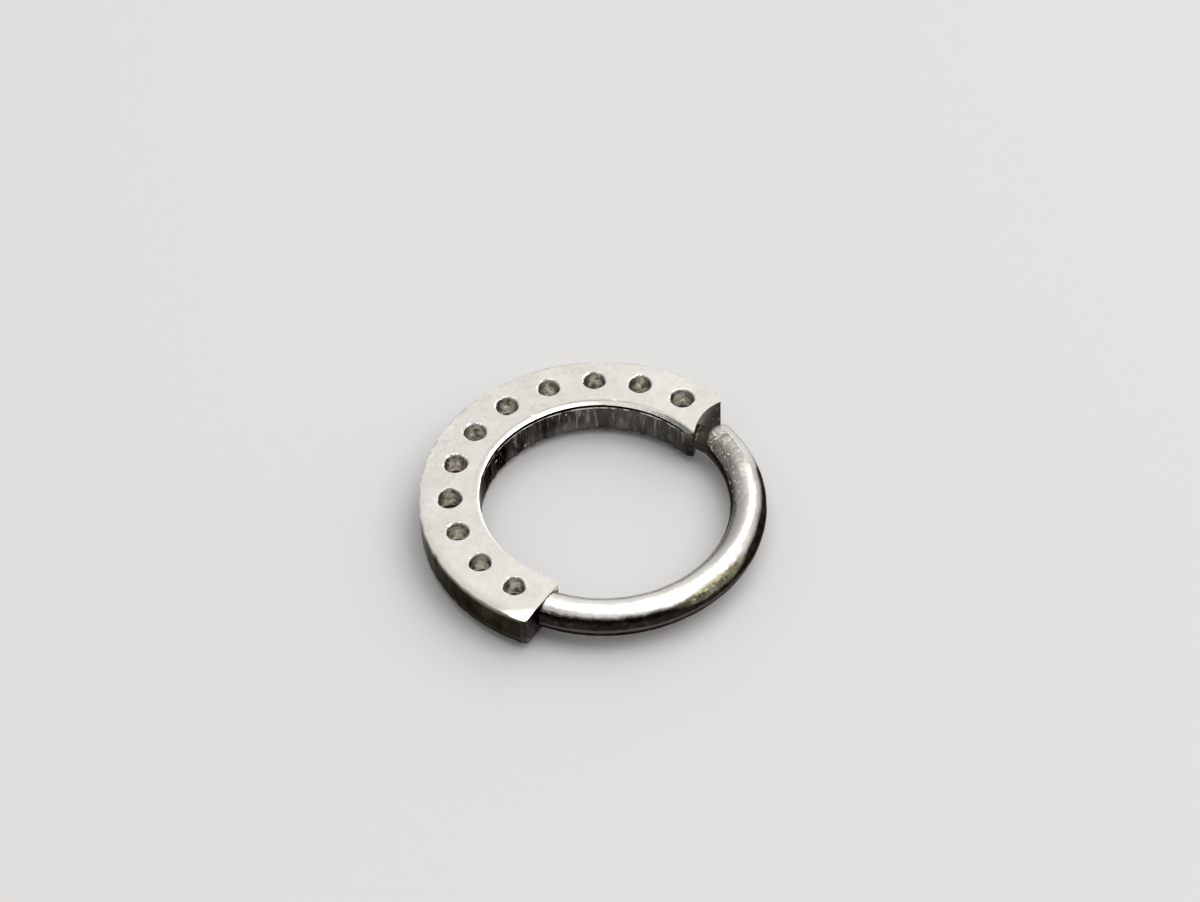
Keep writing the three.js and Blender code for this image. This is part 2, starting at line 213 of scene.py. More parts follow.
def wire_distance(x, y, z):
    px, py = x - WIRE_X, y - WIRE_Y
    tube = np.hypot(np.hypot(px, py) - WIRE_ARC_R, z - WIRE_Z) - WIRE_R
    tube = tube + 0.005 * (1 + ripple(x, y, z, 0.62, 11)) + 0.0022 * (1 + ripple(x, y, z, 0.24, 12))
    lump = np.clip(1 - np.hypot((x + 1.25) * 0.34, y + 5.40) / 0.5, 0, 1) * np.clip((1.42 - z) / 0.12, 0, 1) * np.clip((z - 0.9) / 0.3, 0, 1)
    tube = tube + 0.022 * lump * ripple(x, y, z, 0.20, 13)
    right = x > 0
    end = np.where(right, y - WIRE_HINGE_Y, y - WIRE_LATCH_Y - 0.02)
    d = rint(tube, end, np.where(right, 0.05, 0.02))
    chamfer = 0.7071 * (tube + end + np.interp(np.hypot(px, py) - WIRE_ARC_R, [-0.35, 0.30], [0.12, 0.30]))
    d = np.where(right, rint(d, chamfer, 0.08), d)
    # fork slot and pin hole
    slot = np.minimum(0.27 - np.abs(z - WIRE_Z), y - (HINGE_Y - 0.46))
    slot = np.where(right, np.minimum(slot, x - (HINGE_X - 0.43)), -9.0)
    d = rint(d, slot, 0.03)
    d = rint(d, 0.203 - np.hypot(x - HINGE_X, y - HINGE_Y), 0.012)
    # a short scratch-like slit on the outer shoulder near the free end
    deg = np.degrees(np.arctan2(px, -py))
    up = np.arctan2(z - WIRE_Z, np.hypot(px, py) - WIRE_ARC_R)
    slit = 0.022 - np.abs((up - np.radians(44.0 - 1.2 * (deg + 74.0))) * WIRE_R)
    run = 0.19 - np.abs((deg + 74.6) * math.pi / 180 * WIRE_ARC_R)
    d = np.maximum(d, np.minimum(np.minimum(slit, run), tube + 0.035))
    # latch peg
    lx, ly, ux, uy = LATCH
    along = (x - lx) * ux + (y - ly) * uy
    off = np.hypot((x - lx) * uy - (y - ly) * ux, z - WIRE_Z)
    peg = np.maximum(rint(off - 0.19, along - 0.30, 0.07), -along - 0.40)
    return np.minimum(d, peg)


# ------------------------------------------------------------ dual contouring
def contour(distance, axes, place, step):
    """Meshes distance(x, y, z) = 0 on a grid bent into place by place(a, b, c)."""
    a, b, c = axes
    A, B, C = np.meshgrid(a, b, c, indexing="ij")
    F = distance(*place(A, B, C))
    shape = F.shape
    inside = F < 0
    eps = 0.004

    def gradient(p):
        g = np.empty_like(p)
        for k in range(3):
            e = np.zeros(3)
            e[k] = eps
            g[:, k] = distance(*(p + e).T) - distance(*(p - e).T)
        return g / np.maximum(np.linalg.norm(g, axis=1, keepdims=True), 1e-12)

    cells = np.array(shape) - 1
    n_cells = int(np.prod(cells))
    AtA = np.zeros((n_cells, 6))
    Atb = np.zeros((n_cells, 3))
    mass = np.zeros((n_cells, 3))
    count = np.zeros(n_cells)
    quads = []
    grid = [A, B, C]
    for axis in range(3):
        lo = [slice(None)] * 3
        hi = [slice(None)] * 3
        lo[axis] = slice(0, -1)
        hi[axis] = slice(1, None)
        cross = inside[tuple(lo)] != inside[tuple(hi)]
        idx = np.argwhere(cross)
        i1, i2 = [k for k in range(3) if k != axis]
        keep = (idx[:, i1] > 0) & (idx[:, i2] > 0) & (idx[:, i1] < shape[i1] - 1) & (idx[:, i2] < shape[i2] - 1)
        idx = idx[keep]
        nxt = idx.copy()
        nxt[:, axis] += 1
        p0 = np.stack([g[tuple(idx.T)] for g in grid], 1)
        p1 = np.stack([g[tuple(nxt.T)] for g in grid], 1)
        f0 = F[tuple(idx.T)].copy()
        f1 = F[tuple(nxt.T)].copy()
        start_inside = f0 < 0
        for _ in range(5):                      # false position with bisection guard
            t = np.clip(f0 / np.where(np.abs(f0 - f1) < 1e-12, 1e-12, f0 - f1), 0.04, 0.96)[:, None]
            pm = p0 + (p1 - p0) * t
            fm = distance(*place(*pm.T))
            same = (fm < 0) == (f0 < 0)
            p0 = np.where(same[:, None], pm, p0)
            f0 = np.where(same, fm, f0)
            p1 = np.where(same[:, None], p1, pm)
            f1 = np.where(same, f1, fm)
        t = np.clip(f0 / np.where(np.abs(f0 - f1) < 1e-12, 1e-12, f0 - f1), 0, 1)[:, None]
        P = np.stack(place(*(p0 + (p1 - p0) * t).T), 1)
        N = gradient(P)
        corners = []
        for o1, o2 in ((0, 0), (-1, 0), (-1, -1), (0, -1)):
            cidx = idx.copy()
            cidx[:, i1] += o1
            cidx[:, i2] += o2
            flat = np.ravel_multi_index(tuple(cidx.T), tuple(cells))
            corners.append(flat)
            nn = np.stack([N[:, 0] ** 2, N[:, 0] * N[:, 1], N[:, 0] * N[:, 2], N[:, 1] ** 2, N[:, 1] * N[:, 2], N[:, 2] ** 2], 1)
            nb = N * (N * P).sum(1, keepdims=True)
            for k in range(6):
                AtA[:, k] += np.bincount(flat, nn[:, k], n_cells)
            for k in range(3):
                Atb[:, k] += np.bincount(flat, nb[:, k], n_cells)
                mass[:, k] += np.bincount(flat, P[:, k], n_cells)
            count += np.bincount(flat, minlength=n_cells)
        q = np.stack(corners, 1)
        flip = start_inside if axis != 1 else ~start_inside
        q[~flip] = q[~flip][:, ::-1]
        quads.append(q)
    used = np.flatnonzero(count)
    remap = np.full(n_cells, -1)
    remap[used] = np.arange(len(used))
    m = mass[used] / count[used, None]
    s = AtA[used]
    M = np.empty((len(used), 3, 3))
    M[:, 0, 0], M[:, 0, 1], M[:, 0, 2] = s[:, 0], s[:, 1], s[:, 2]
    M[:, 1, 0], M[:, 1, 1], M[:, 1, 2] = s[:, 1], s[:, 3], s[:, 4]
    M[:, 2, 0], M[:, 2, 1], M[:, 2, 2] = s[:, 2], s[:, 4], s[:, 5]
    rhs = Atb[used] - np.einsum("nij,nj->ni", M, m)
    M += 0.05 * np.eye(3)
    move = np.linalg.solve(M, rhs[:, :, None])[:, :, 0]
    size = np.linalg.norm(move, axis=1, keepdims=True)
    move *= np.minimum(1.0, 0.9 * step / np.maximum(size, 1e-9))
    verts = m + move
    faces = remap[np.concatenate(quads)]
    return verts, faces


def grid(lo, hi, step):
    n = int(round((hi - lo) / step))
    return np.linspace(lo, hi, n + 1)


def new_mesh(name, verts, faces, smooth_deg=None):
    mesh = bpy.data.meshes.new(name)
    v = np.asarray(verts, float).copy()
    v[:, 1] += AXIS_SHIFT
    v *= MM
    faces = np.asarray(faces)
    mesh.vertices.add(len(v))
    mesh.vertices.foreach_set("co", v.astype(np.float32).ravel())
    k = faces.shape[1]
    mesh.loops.add(faces.size)
    mesh.loops.foreach_set("vertex_index", faces.astype(np.int32).ravel())
    mesh.polygons.add(len(faces))
    mesh.polygons.foreach_set("loop_start", np.arange(0, faces.size, k, dtype=np.int32))
    mesh.update(calc_edges=True)
    mesh.validate()
    obj = bpy.data.objects.new(name, mesh)
    bpy.context.scene.collection.objects.link(obj)
    if smooth_deg is not None:
        mesh.shade_smooth()
        mesh.set_sharp_from_angle(angle=math.radians(smooth_deg))
    return obj


def thin_out(obj, keep):
    """Collapses small faces until about this share of them is left."""
    mod = obj.modifiers.new("thin", "DECIMATE")
    mod.ratio = keep
    graph = bpy.context.evaluated_depsgraph_get()
    new = bpy.data.meshes.new_from_object(obj.evaluated_get(graph), preserve_all_data_layers=True, depsgraph=graph)
    obj.modifiers.clear()
    old = obj.data
    obj.data = new
    bpy.data.meshes.remove(old)
    new.shade_smooth()
    new.set_sharp_from_angle(angle=math.radians(38))


def face_facts(obj):
    """Face centres in mm from the ring axis, and face normals."""
    mesh = obj.data
    n = len(mesh.polygons)
    c = np.empty(n * 3, np.float32)
    nn = np.empty(n * 3, np.float32)
    mesh.polygons.foreach_get("center", c)
    mesh.polygons.foreach_get("normal", nn)
    c = c.reshape(-1, 3).astype(float) / MM
    c[:, 1] -= AXIS_SHIFT
    return c, nn.reshape(-1, 3).astype(float)


# ------------------------------------------------------------------ materials
def new_material(name, **sockets):
    mat = bpy.data.materials.new(name)
    mat.use_nodes = True
    tree = mat.node_tree
    bsdf = tree.nodes["Principled BSDF"]
    for key, value in sockets.items():
        bsdf.inputs[key.replace("_", " ")].default_value = value
    return mat, tree, bsdf


class Graph:
    """Short spellings for the few node kinds the finishes use."""

    def __init__(self, tree):
        self.t = tree
        self.coord = tree.nodes.new("ShaderNodeTexCoord").outputs["Object"]

    def node(self, kind, **props):
        n = self.t.nodes.new(kind)
        for k, v in props.items():
            setattr(n, k, v)
        return n

    def link(self, a, b):
        self.t.links.new(a, b)

    def put(self, socket, value):
        if isinstance(value, bpy.types.NodeSocket):
            self.link(value, socket)
        else:
            socket.default_value = value

    def noise(self, scale, detail=3.0, rough=0.55, vector=None, distort=0.0):
        n = self.node("ShaderNodeTexNoise")
        self.put(n.inputs["Vector"], vector if vector is not None else self.coord)
        n.inputs["Scale"].default_value = scale
        n.inputs["Detail"].default_value = detail
        n.inputs["Roughness"].default_value = rough
        n.inputs["Distortion"].default_value = distort
        return n.outputs["Fac"]

    def stretch(self, sx, sy, sz):
        n = self.node("ShaderNodeMapping")
        self.link(self.coord, n.inputs["Vector"])
        n.inputs["Scale"].default_value = (sx, sy, sz)
        return n.outputs["Vector"]

    def ramp(self, fac, stops):
        n = self.node("ShaderNodeValToRGB")
        self.put(n.inputs["Fac"], fac)
        e = n.color_ramp.elements
        while len(e) < len(stops):
            e.new(0.5)
        for el, (pos, col) in zip(e, stops):
            el.position = pos
            el.color = (*col, 1.0) if len(col) == 3 else col
        return n.outputs["Color"]

    def span(self, value, lo, hi, out_lo=0.0, out_hi=1.0):
        n = self.node("ShaderNodeMapRange")
        self.put(n.inputs["Value"], value)
        for key, v in zip(("From Min", "From Max", "To Min", "To Max"), (lo, hi, out_lo, out_hi)):
            n.inputs[key].default_value = v
        return n.outputs["Result"]

    def math(self, op, a, b=0.0):
        n = self.node("ShaderNodeMath", operation=op)
        self.put(n.inputs[0], a)
        self.put(n.inputs[1], b)
        return n.outputs[0]

    def mix(self, fac, a, b):
        n = self.node("ShaderNodeMix", data_type="RGBA")
        self.put(n.inputs[0], fac)
        for s, v in ((n.inputs[6], a), (n.inputs[7], b)):
            self.put(s, v if isinstance(v, bpy.types.NodeSocket) else (*v, 1.0))
        return n.outputs[2]

    def axis(self, which):
        n = self.node("ShaderNodeSeparateXYZ")
        self.link(self.coord, n.inputs[0])
        return n.outputs[which]

    def bump(self, height, strength, distance, after=None):
        n = self.node("ShaderNodeBump")
        self.put(n.inputs["Height"], height)
        n.inputs["Strength"].default_value = strength
        n.inputs["Distance"].default_value = distance
        if after is not None:
            self.link(after, n.inputs["Normal"])
        return n.outputs["Normal"]


def place_in_mm(g):
    """Shader-side x, y (from the ring axis) and z in millimetres."""
    x = g.math("MULTIPLY", g.axis(0), 1000.0)
    y = g.math("ADD", g.math("MULTIPLY", g.axis(1), 1000.0), -AXIS_SHIFT)
    z = g.math("MULTIPLY", g.axis(2), 1000.0)
    return x, y, z


def hypot(g, a, b):
    return g.math("SQRT", g.math("ADD", g.math("MULTIPLY", a, a), g.math("MULTIPLY", b, b)))


def satin_back():
    """Fine-sanded silver: soft mottling, a light grain, dull flecks, a little tarnish towards
    the latch, and a thin brown line where the satin stops at the burnished bevel; painted shade
    near the outer rim on the latch side and on the bevel towards the hinge."""
    mat, tree, bsdf = new_material("satin silver back", Metallic=1.0)
    g = Graph(tree)
    x, y, z = place_in_mm(g)
    broad = g.noise(650, 3, 0.6)
    fine = g.noise(8000, 4, 0.7)
    flecks = g.noise(14000, 2, 0.5)
    tone = g.ramp(broad, [(0.30, (0.645, 0.625, 0.585)), (0.52, (0.685, 0.67, 0.635)), (0.72, (0.735, 0.722, 0.69))])
    tone = g.mix(g.span(fine, 0.32, 0.68, 0.42, 0.0), tone, (0.48, 0.465, 0.425))
    # duller and a shade greener on the latch side
    dull = g.span(g.math("ADD", g.math("MULTIPLY", x, 0.80), g.math("MULTIPLY", y, 0.25)), 1.0, -5.5)
    tone = g.mix(g.math("MULTIPLY", dull, 0.30), tone, (0.55, 0.545, 0.495))
    # painted shade: darker towards the outer rim on the latch side, where the rim rolls over
    rim_painted_shade = g.span(hypot(g, x, y), 5.62, 6.02)
    rim_painted_shade = g.math("MULTIPLY", g.math("POWER", rim_painted_shade, 1.6), g.span(g.math("ADD", x, g.math("MULTIPLY", y, 0.7)), 1.5, -4.5))
    tone = g.mix(g.math("MULTIPLY", rim_painted_shade, 0.62), tone, (0.36, 0.35, 0.30))
    fleck = g.span(flecks, 0.64, 0.76)
    tone = g.mix(g.math("MULTIPLY", fleck, 0.30), tone, (0.40, 0.375, 0.33))
    radius = hypot(g, x, y)
    edge = g.math("SUBTRACT", radius, INNER_R)
    ragged = g.math("MULTIPLY", g.math("SUBTRACT", g.noise(3800, 3, 0.6), 0.5), 0.12)
    line = g.span(g.math("ABSOLUTE", g.math("SUBTRACT", g.math("ADD", edge, ragged), 0.20)), 0.045, 0.01)
    hingeward = g.span(x, -2.6, -0.5)
    tone = g.mix(g.math("MULTIPLY", g.math("MULTIPLY", line, hingeward), 0.42), tone, (0.36, 0.31, 0.24))
    shine = g.node("ShaderNodeAttribute", attribute_name="burnish").outputs["Fac"]
    tone = g.mix(shine, tone, (0.975, 0.965, 0.94))
    # painted shade: the bevel and the satin beside it darkened on the hinge side
    bevel_painted_shade = g.math("MULTIPLY", g.span(x, 2.0, 3.5), g.span(radius, INNER_R + 0.22, INNER_R + 0.15))
    tone = g.mix(g.math("MULTIPLY", bevel_painted_shade, 0.95), tone, (0.26, 0.255, 0.24))
    g.link(tone, bsdf.inputs["Base Color"])
    satin = g.span(fine, 0.3, 0.7, 0.34, 0.46)
    g.link(g.math("MULTIPLY", satin, g.span(shine, 0.0, 1.0, 1.0, 0.42)), bsdf.inputs["Roughness"])
    n = g.bump(fine, 0.6, 0.000010)
    n = g.bump(g.noise(2400, 2, 0.5), 0.35, 0.00002, n)
    g.link(n, bsdf.inputs["Normal"])
    return mat


def bright_cut(name, tone=(0.95, 0.94, 0.915), rough=0.11):
    """Burnished edge."""
    mat, tree, bsdf = new_material(name, Metallic=1.0)
    g = Graph(tree)
    fine = g.noise(5200, 3, 0.6)
    g.link(g.ramp(fine, [(0.3, tuple(c * 0.93 for c in tone)), (0.7, tone)]), bsdf.inputs["Base Color"])
    g.link(g.span(fine, 0.3, 0.7, rough * 0.7, rough * 1.6), bsdf.inputs["Roughness"])
    g.link(g.bump(fine, 0.15, 0.000006), bsdf.inputs["Normal"])
    return mat


def dark_wall(name, lo, hi, streak, rough=0.13, spark=0.55, spark_tone=None, scale=2600):
    """Polished wall painted dark as shade, with streaks that run up the wall."""
    mat, tree, bsdf = new_material(name, Metallic=1.0)
    g = Graph(tree)
    v = g.stretch(1, 1, streak)
    lines = g.noise(scale, 4, 0.7, v)
    cloud = g.noise(900, 3, 0.6, g.stretch(1, 1, 0.6))
    base = g.ramp(cloud, [(0.32, lo), (0.68, hi)])
    thin = g.span(lines, 0.58, 0.72)
    bright = spark_tone or tuple(min(1.0, c * 3.2 + 0.05) for c in hi)
    g.link(g.mix(g.math("MULTIPLY", thin, spark), base, bright), bsdf.inputs["Base Color"])
    g.link(g.span(lines, 0.3, 0.7, rough * 0.7, rough * 1.7), bsdf.inputs["Roughness"])
    n = g.bump(lines, 0.45, 0.000014)
    n = g.bump(g.noise(9000, 3, 0.6), 0.15, 0.000005, n)
    g.link(n, bsdf.inputs["Normal"])
    return mat


def outer_wall():
    """Dark olive wall, its dark base a painted dark reflection; paler away from the latch side, a painted highlight
    where it rolls into the rim, lighter along its lower edge, and painted glints.
    """
    mat, tree, bsdf = new_material("outer wall", Metallic=1.0, Specular_Tint=(0.50, 0.49, 0.46, 1.0))
    g = Graph(tree)
    x, y, z = place_in_mm(g)
    cloud = g.noise(1300, 4, 0.65, g.stretch(1, 1, 0.5))
    # painted dark reflection: the wall's dark base colour
    base = g.ramp(cloud, [(0.32, (0.014, 0.012, 0.009)), (0.55, (0.040, 0.036, 0.027)), (0.75, (0.090, 0.083, 0.064))])
    wave = g.math("MULTIPLY", g.math("SUBTRACT", g.noise(1500, 3, 0.6), 0.5), 0.14)
    level = g.math("ADD", z, wave)
    # paler away from the latch side
    paler_part = g.span(g.math("ADD", g.math("MULTIPLY", x, 0.6), y), 2.0, 5.0)
    base = g.mix(g.math("MULTIPLY", paler_part, 0.45), base, g.ramp(cloud, [(0.32, (0.26, 0.25, 0.22)), (0.75, (0.46, 0.45, 0.41))]))
    # painted highlight where the wall rolls into the rim
    base = g.mix(g.span(level, 1.36, 1.57), base, (0.44, 0.42, 0.345))
    low = g.span(g.math("ABSOLUTE", g.math("SUBTRACT", level, 0.50)), 0.13, 0.03)
    base = g.mix(g.math("MULTIPLY", low, 0.50), base, (0.10, 0.094, 0.078))
    # painted glints
    glint = g.span(g.noise(5200, 3, 0.6), 0.68, 0.74)
    base = g.mix(g.math("MULTIPLY", glint, 0.6), base, (0.45, 0.43, 0.38))
    g.link(base, bsdf.inputs["Base Color"])
    g.link(g.span(cloud, 0.3, 0.7, 0.12, 0.26), bsdf.inputs["Roughness"])
    n = g.bump(g.noise(3600, 3, 0.6, g.stretch(1, 1, 0.5)), 0.4, 0.000014)
    g.link(n, bsdf.inputs["Normal"])
    return mat


def hole_wall():
    """Drilled hole: rough, blotched with dried polishing paste; its brightest blotches are painted glints."""
    mat, tree, bsdf = new_material("hole wall", Metallic=1.0)
    g = Graph(tree)
    blot = g.noise(4200, 4, 0.7)
    g.link(g.ramp(blot, [(0.34, (0.13, 0.115, 0.09)), (0.46, (0.50, 0.475, 0.41)), (0.56, (0.90, 0.88, 0.82)), (0.68, (1.0, 0.99, 0.97))]), bsdf.inputs["Base Color"])
    g.link(g.span(blot, 0.3, 0.7, 0.42, 0.22), bsdf.inputs["Roughness"])
    g.link(g.bump(blot, 0.9, 0.00004), bsdf.inputs["Normal"])
    return mat


def end_wall():
    """Ends of the bar: blotched, their dark base painted shade; a painted highlight along the top
    where the wire shuts on it, and a browner painted reflection high up in the scoop."""
    mat, tree, bsdf = new_material("end wall", Metallic=1.0)
    g = Graph(tree)
    x, y, z = place_in_mm(g)
    cloud = g.noise(1500, 4, 0.7)
    # painted shade: the dark base colour of the ends
    base = g.ramp(cloud, [(0.34, (0.010, 0.008, 0.007)), (0.52, (0.035, 0.029, 0.024)), (0.70, (0.11, 0.092, 0.075))])
    fine = g.noise(5200, 3, 0.6)
    base = g.mix(g.math("MULTIPLY", g.span(fine, 0.60, 0.70), 0.35), base, (0.40, 0.37, 0.32))
    edge = g.math("ADD", z, g.math("MULTIPLY", g.math("SUBTRACT", cloud, 0.5), 0.10))
    # browner painted reflection high up in the scoop
    scoop = g.math("MULTIPLY", g.span(edge, 1.10, 1.50), g.math("MULTIPLY", g.span(x, 1.0, 2.0), g.span(x, 5.7, 4.9)))
    base = g.mix(g.math("MULTIPLY", scoop, 0.55), base, (0.24, 0.20, 0.165))
    # painted highlight along the top of the end wall where the wire shuts on it
    painted_highlight_band = g.math("MULTIPLY", g.span(edge, 1.24, 1.44), g.span(g.math("ABSOLUTE", g.math("SUBTRACT", x, -4.45)), 0.62, 0.35))
    base = g.mix(g.math("MULTIPLY", painted_highlight_band, 0.92), base, (0.90, 0.86, 0.81))
    g.link(base, bsdf.inputs["Base Color"])
    g.link(g.span(cloud, 0.3, 0.7, 0.18, 0.34), bsdf.inputs["Roughness"])
    g.link(g.bump(fine, 0.4, 0.000014), bsdf.inputs["Normal"])
    return mat


def inner_wall():
    """Dark mirror-like wall with fine upright tool marks. Its dark base is a painted dark reflection,
    with painted light towards the hinge, painted glints, and a painted shade band with a broken
    painted highlight line under it, just under the bevel."""
    mat, tree, bsdf = new_material("inner wall", Metallic=1.0, Specular_Tint=(0.35, 0.34, 0.32, 1.0))
    g = Graph(tree)
    x, y, z = place_in_mm(g)
    strokes = g.noise(5200, 4, 0.75, g.stretch(1, 1, 0.16), 0.4)
    wide = g.noise(1900, 3, 0.6, g.stretch(1, 1, 0.25))
    # painted dark reflection: the wall's dark base colour
    base = g.ramp(wide, [(0.30, (0.008, 0.007, 0.006)), (0.50, (0.032, 0.029, 0.026)), (0.72, (0.080, 0.075, 0.068))])
    # painted light: the tool marks show lighter towards the hinge
    lit = g.span(x, -1.6, 2.4, 0.25, 1.0)
    base = g.mix(g.math("MULTIPLY", lit, g.span(strokes, 0.53, 0.68)), base, (0.40, 0.385, 0.355))
    # painted glints
    glint = g.span(g.noise(5600, 2, 0.5, g.stretch(1, 1, 0.6)), 0.69, 0.73)
    base = g.mix(g.math("MULTIPLY", glint, 0.9), base, (0.95, 0.94, 0.90))
    # painted light, paler low on the wall
    low = g.math("MULTIPLY", g.span(z, 0.90, 0.45), g.span(wide, 0.40, 0.60))
    base = g.mix(g.math("MULTIPLY", g.math("MULTIPLY", low, lit), 0.65), base, (0.24, 0.23, 0.205))
    # painted light towards the hinge, painted shade towards the latch
    base = g.mix(g.math("MULTIPLY", g.span(x, 2.2, 3.8), 0.45), base, (0.17, 0.16, 0.145))
    base = g.mix(g.math("MULTIPLY", g.span(x, -0.6, -2.6), 0.60), base, (0.012, 0.011, 0.010))
    wave = g.math("MULTIPLY", g.math("SUBTRACT", g.noise(1500, 2, 0.5, g.stretch(1, 1, 0.05)), 0.5), 0.06)
    level = g.math("ADD", z, wave)
    # painted shade band just under the bevel
    shade = g.span(level, 1.385, 1.41)
    base = g.mix(shade, base, (0.006, 0.005, 0.004))
    # broken painted highlight line under the painted shade band
    dash = g.span(g.noise(3000, 3, 0.6, g.stretch(1, 1, 0.05)), 0.42, 0.56)
    line = g.span(g.math("ABSOLUTE", g.math("SUBTRACT", level, 1.365)), 0.030, 0.012)
    base = g.mix(g.math("MULTIPLY", line, dash), base, (0.92, 0.90, 0.85))
    g.link(base, bsdf.inputs["Base Color"])
    g.link(g.span(strokes, 0.3, 0.7, 0.08, 0.20), bsdf.inputs["Roughness"])
    n = g.bump(strokes, 0.55, 0.000016)
    g.link(n, bsdf.inputs["Normal"])
    return mat


def wire_finish():
    """Polished wire with orange peel, a painted dark reflection on its underside with a painted
    reflection line low on it, and a matt, pitted hinge end with painted shade, a painted highlight
    and painted glints."""
    mat, tree, bsdf = new_material("polished silver wire", Metallic=1.0, Specular_Tint=(0.45, 0.44, 0.42, 1.0))
    g = Graph(tree)
    x, y, z = place_in_mm(g)
    ragged = g.math("SUBTRACT", g.noise(4200, 4, 0.7), 0.5)
    broad = g.noise(800, 2, 0.5)
    # painted dark reflection below a ragged line just above the wire's middle
    hingeward = g.span(x, -0.9, 0.4)
    level = g.math("ADD", z, g.math("MULTIPLY", ragged, g.span(x, -3.4, -2.2, 0.15, 0.06)))
    outward = g.span(hypot(g, g.math("SUBTRACT", x, WIRE_X), g.math("SUBTRACT", y, WIRE_Y)), WIRE_ARC_R - 0.10, WIRE_ARC_R + 0.15)
    latchward = g.span(x, 2.6, 0.4)
    level = g.math("SUBTRACT", level, g.math("MULTIPLY", g.math("MULTIPLY", outward, latchward), 0.075))
    hinge_zone = g.math("MULTIPLY", g.span(y, -3.9, -3.1), g.span(x, 0.8, 2.2))
    level = g.math("SUBTRACT", level, g.math("MULTIPLY", g.math("MULTIPLY", outward, g.span(x, 0.6, 2.0)), 0.09))
    level = g.math("ADD", level, g.math("MULTIPLY", g.math("MULTIPLY", outward, hinge_zone), 0.30))
    stain = g.math("ABSOLUTE", g.math("SUBTRACT", x, -1.10))
    level = g.math("ADD", level, g.math("MULTIPLY", outward, g.span(stain, 1.9, 0.7, 0.0, 0.13)))
    half = g.span(level, 1.43, 1.30)
    under = g.span(level, 1.335, 1.235)
    silver = g.ramp(broad, [(0.35, (0.91, 0.89, 0.845)), (0.65, (0.97, 0.955, 0.92))])
    silver = g.mix(g.math("MULTIPLY", hingeward, g.span(hinge_zone, 0.0, 1.0, 1.0, 0.55)), silver, (0.715, 0.70, 0.665))
    brown = g.ramp(g.noise(3000, 4, 0.7), [(0.35, (0.012, 0.009, 0.008)), (0.60, (0.034, 0.027, 0.024)), (0.80, (0.10, 0.085, 0.075))])
    colour = g.mix(g.math("MULTIPLY", half, 0.40), silver, (0.46, 0.44, 0.385))
    colour = g.mix(under, colour, brown)
    # painted reflection: a paler line low on the underside
    low_painted_reflection = g.span(g.math("ABSOLUTE", g.math("SUBTRACT", g.math("ADD", z, g.math("MULTIPLY", ragged, 0.10)), 0.89)), 0.10, 0.03)
    colour = g.mix(g.math("MULTIPLY", low_painted_reflection, 0.62), colour, (0.20, 0.185, 0.17))
    # the painted dark stops low down, so the very underside stays plain silver
    plain_underside = g.span(g.math("ADD", z, g.math("MULTIPLY", ragged, 0.16)), 0.56, 0.42)
    colour = g.mix(g.math("MULTIPLY", plain_underside, 0.85), colour, (0.72, 0.705, 0.665))
    # olive tarnish on the outer shoulder towards the hinge
    along = stain
    upper = g.span(along, 0.3, 1.9, 1.505, 1.385)
    patch = g.math("MULTIPLY", g.span(g.math("ADD", g.math("SUBTRACT", upper, z), g.math("MULTIPLY", ragged, 0.09)), -0.045, 0.06), g.span(g.math("ADD", along, ragged), 1.75, 1.15))
    patch = g.math("MULTIPLY", patch, outward)
    lumps = g.noise(4600, 3, 0.65)
    olive = g.ramp(lumps, [(0.34, (0.17, 0.155, 0.09)), (0.54, (0.29, 0.27, 0.17)), (0.66, (0.42, 0.41, 0.31)), (0.71, (0.95, 0.94, 0.88))])
    colour = g.mix(g.math("MULTIPLY", g.math("MULTIPLY", patch, g.span(level, 1.16, 1.26)), 0.92), colour, olive)
    # painted shade greying the inner side
    grey = g.span(hypot(g, g.math("SUBTRACT", x, 1.6), g.math("SUBTRACT", y, -4.4)), 2.3, 0.9)
    inward = g.math("SUBTRACT", 1.0, outward)
    grey = g.math("MULTIPLY", grey, g.span(level, 1.24, 1.30))
    colour = g.mix(g.math("MULTIPLY", g.math("MULTIPLY", grey, inward), 0.30), colour, (0.50, 0.485, 0.45))
    # hinge end: matt and greyed, with painted shade on its inner side, a painted highlight on its outer flank, and
    # painted glints and dark pits along the inner shoulder
    dx = g.math("SUBTRACT", x, 4.15)
    dy = g.math("MULTIPLY", g.math("SUBTRACT", y, -2.55), 0.60)
    near = g.span(hypot(g, dx, dy), 1.15, 0.45)
    reach = hypot(g, g.math("SUBTRACT", x, WIRE_X), g.math("SUBTRACT", y, WIRE_Y))
    near = g.math("MULTIPLY", near, g.span(reach, WIRE_ARC_R + 0.34, WIRE_ARC_R + 0.12))
    speck = g.noise(6500, 4, 0.7)
    # matt grey with pale specks; its whitest specks are painted glints
    matt = g.ramp(speck, [(0.36, (0.27, 0.26, 0.225)), (0.52, (0.41, 0.395, 0.35)), (0.62, (0.52, 0.505, 0.455)), (0.69, (0.98, 0.97, 0.94))])
    colour = g.mix(g.math("MULTIPLY", near, g.span(level, 1.14, 1.24)), colour, matt)
    # painted shade on the inner side at the hinge end
    shade = g.math("MULTIPLY", g.span(reach, WIRE_ARC_R + 0.10, WIRE_ARC_R - 0.15), g.math("MULTIPLY", hinge_zone, g.span(level, 1.16, 1.26)))
    colour = g.mix(g.math("MULTIPLY", shade, 0.50), colour, (0.36, 0.35, 0.31))
